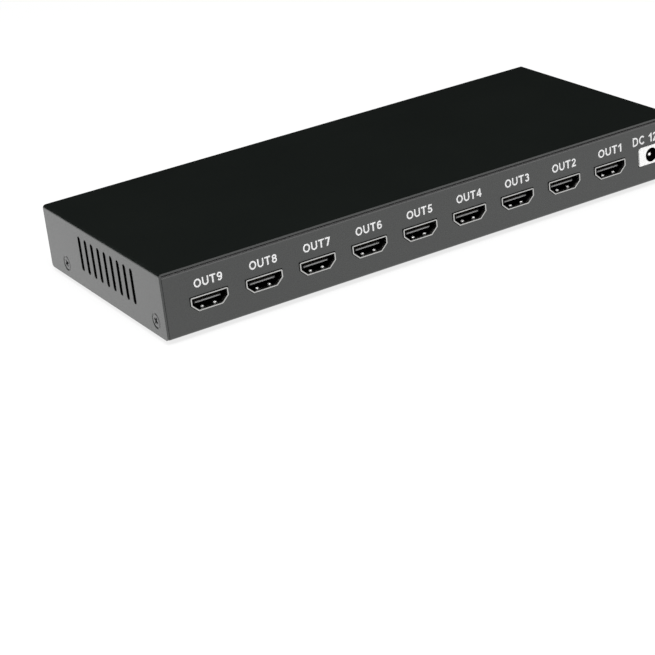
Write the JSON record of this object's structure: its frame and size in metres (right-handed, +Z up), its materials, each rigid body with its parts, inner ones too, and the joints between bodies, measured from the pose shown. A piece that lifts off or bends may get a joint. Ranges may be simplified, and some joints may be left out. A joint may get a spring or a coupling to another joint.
{
  "type": "video wall controller",
  "caption": "Flat folded-metal box that splits one video input over a row of output sockets, with control, audio and power connectors.",
  "frame": {"origin": "on the resting plane, under the middle of the overall size", "axes": "+X along the output panel to its right as seen from outside, +Y from the output panel to the input panel, +Z up"},
  "size_m": [0.226, 0.1044, 0.0268],
  "materials": {
    "black_paint": "satin black paint",
    "screw_black": "blackened steel",
    "foot_rubber": "soft matte",
    "plated_shell": "bright tin plate",
    "black_insulator": "moulded",
    "ivory_insulator": "moulded",
    "olive_insulator": "moulded",
    "nickel_screw": "bright nickel plate",
    "optical_black": "moulded",
    "shutter_grey": "moulded",
    "emitter_dark": "moulded",
    "white_jack": "moulded",
    "contact_metal": "nickel plated",
    "receiver_dark": "moulded",
    "light_clear": "moulded",
    "board_green": "solder mask",
    "brass_standoff": "turned",
    "chip_black": "moulded",
    "sink_aluminium": "anodised",
    "coil_grey": "pressed powder",
    "can_aluminium": "drawn can"
  },
  "bodies": {
    "housing": {"board_nuts": "nickel_screw", "board_standoffs": "brass_standoff", "capacitors": "can_aluminium", "chassis_tray": "black_paint", "control_chip": "chip_black", "cover_screws": "screw_black", "dual_link_insulator": "ivory_insulator", "dual_link_shell": "plated_shell", "feet": "foot_rubber", "heat_sink": "sink_aluminium", "inductors": "coil_grey", "input_decoders": "chip_black", "jackscrews": "nickel_screw", "main_board": "board_green", "memory_chips": "chip_black", "optical_body": "optical_black", "optical_emitter": "emitter_dark", "output_1_insulator": "black_insulator", "output_1_shell": "plated_shell", "output_2_insulator": "black_insulator", "output_2_shell": "plated_shell", "output_3_insulator": "black_insulator", "output_3_shell": "plated_shell", "output_4_insulator": "black_insulator", "output_4_shell": "plated_shell", "output_5_insulator": "black_insulator", "output_5_shell": "plated_shell", "output_6_insulator": "black_insulator", "output_6_shell": "plated_shell", "output_7_insulator": "black_insulator", "output_7_shell": "plated_shell", "output_8_insulator": "black_insulator", "output_8_shell": "plated_shell", "output_9_insulator": "black_insulator", "output_9_shell": "plated_shell", "output_drivers": "chip_black", "power_jack": "white_jack", "power_leaf": "contact_metal", "power_pin": "contact_metal", "processor": "chip_black", "remote_receiver": "receiver_dark", "serial_insulator": "olive_insulator", "serial_shell": "plated_shell", "status_light_1": "light_clear", "status_light_2": "light_clear", "top_cover": "black_paint", "video_input_insulator": "black_insulator", "video_input_shell": "plated_shell"},
    "shutter": {"optical_shutter": "shutter_grey"}
  },
  "joints": [
    {"name": "shutter_swing", "type": "hinge", "parent": "housing", "child": "shutter", "pos_m": [-0.018, 0.0447, 0.02055], "axis": [-1, 0, 0], "range_deg": [0, 80], "stiffness_Nm_per_rad": 0.00002, "springref_deg": -28.65}
  ]
}
